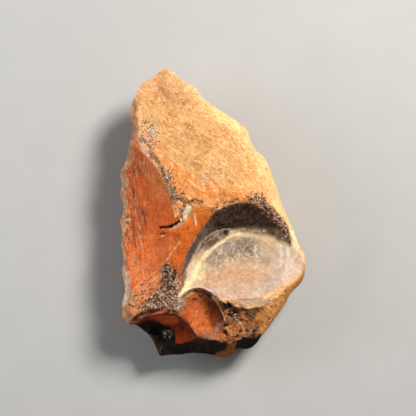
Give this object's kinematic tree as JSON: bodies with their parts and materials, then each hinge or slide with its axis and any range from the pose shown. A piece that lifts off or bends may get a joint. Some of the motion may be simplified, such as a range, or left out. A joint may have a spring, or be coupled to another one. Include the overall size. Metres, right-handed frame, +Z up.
{
  "type": "stone hand axe",
  "caption": "Flaked jasper hand axe with a pointed tip, a retouched left edge, a thick rind-covered right side and a deep bowl-shaped scar, lying on a flat spot of its back.",
  "frame": {"origin": "centre of the bounding box in plan, on the surface that the stone lies on", "axes": "+Y from the butt to the tip, +X from the worked edge to the thick rind side, +Z up out of the pictured face"},
  "size_m": [0.0706, 0.11, 0.0335],
  "materials": {
    "jasper": "flaked brown-red jasper with a sandy golden rind, a grey and peach chalcedony bowl and black specks; satin to matt"
  },
  "bodies": {
    "root": {"hand_axe": "jasper"}
  },
  "joints": []
}
